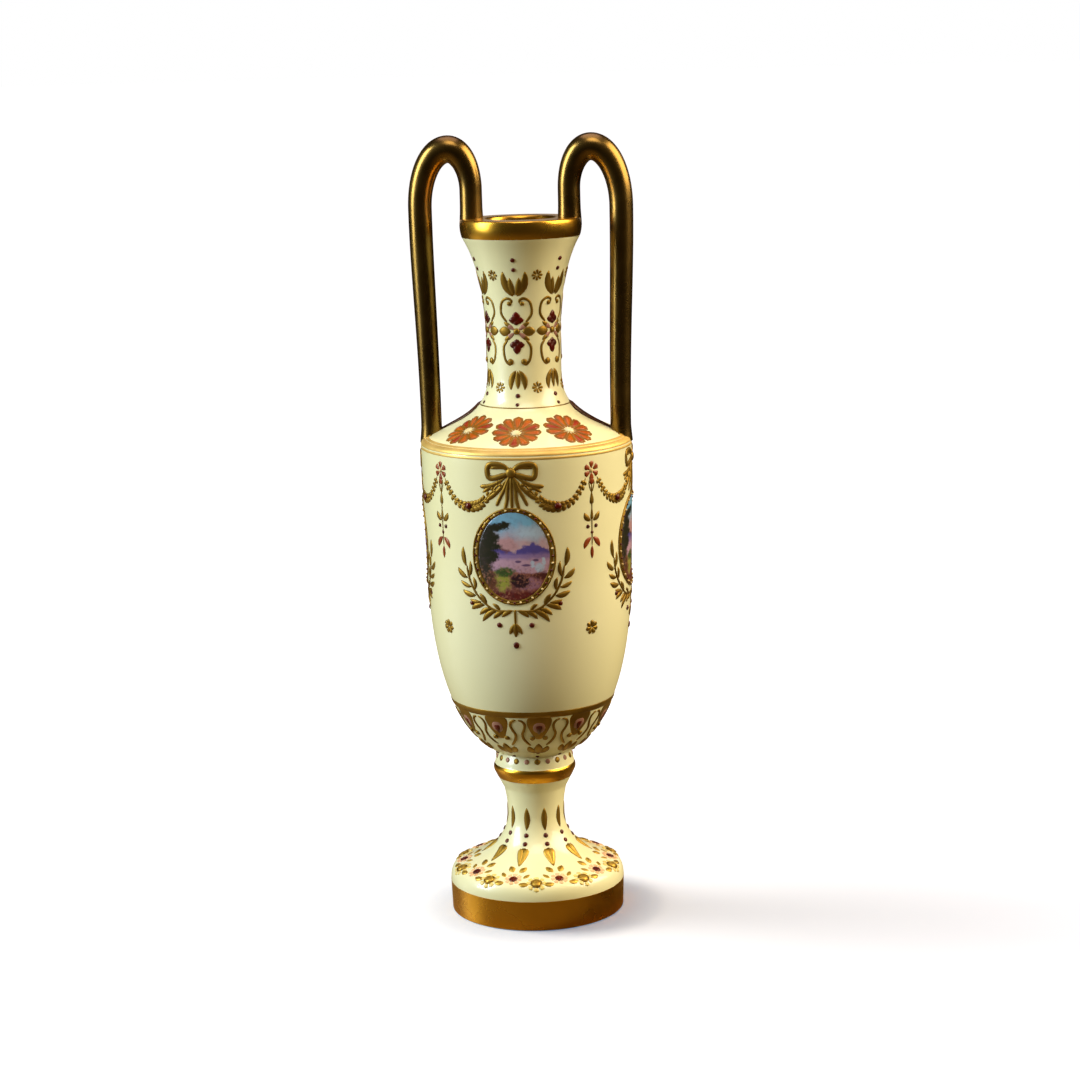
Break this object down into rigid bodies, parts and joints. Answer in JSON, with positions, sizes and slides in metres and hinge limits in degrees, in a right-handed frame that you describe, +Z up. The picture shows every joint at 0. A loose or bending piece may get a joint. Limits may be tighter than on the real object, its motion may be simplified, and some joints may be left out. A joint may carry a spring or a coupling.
{
  "type": "mantel urn",
  "caption": "Slender footed urn for a mantel, with a tall side, narrow neck and two looped handles that rise above the rim.",
  "frame": {"origin": "centre of the foot's standing ring, on the surface that the urn stands on", "axes": "+Z up the axis of the turned body; the two handles lie along +X and -X; -Y is the front, with the main picture"},
  "size_m": [0.0722, 0.0682, 0.255],
  "materials": {
    "ivory_glaze": "gloss",
    "gilding": "gloss",
    "enamel": "gloss"
  },
  "bodies": {
    "root": {"urn": "ivory_glaze"}
  },
  "joints": []
}
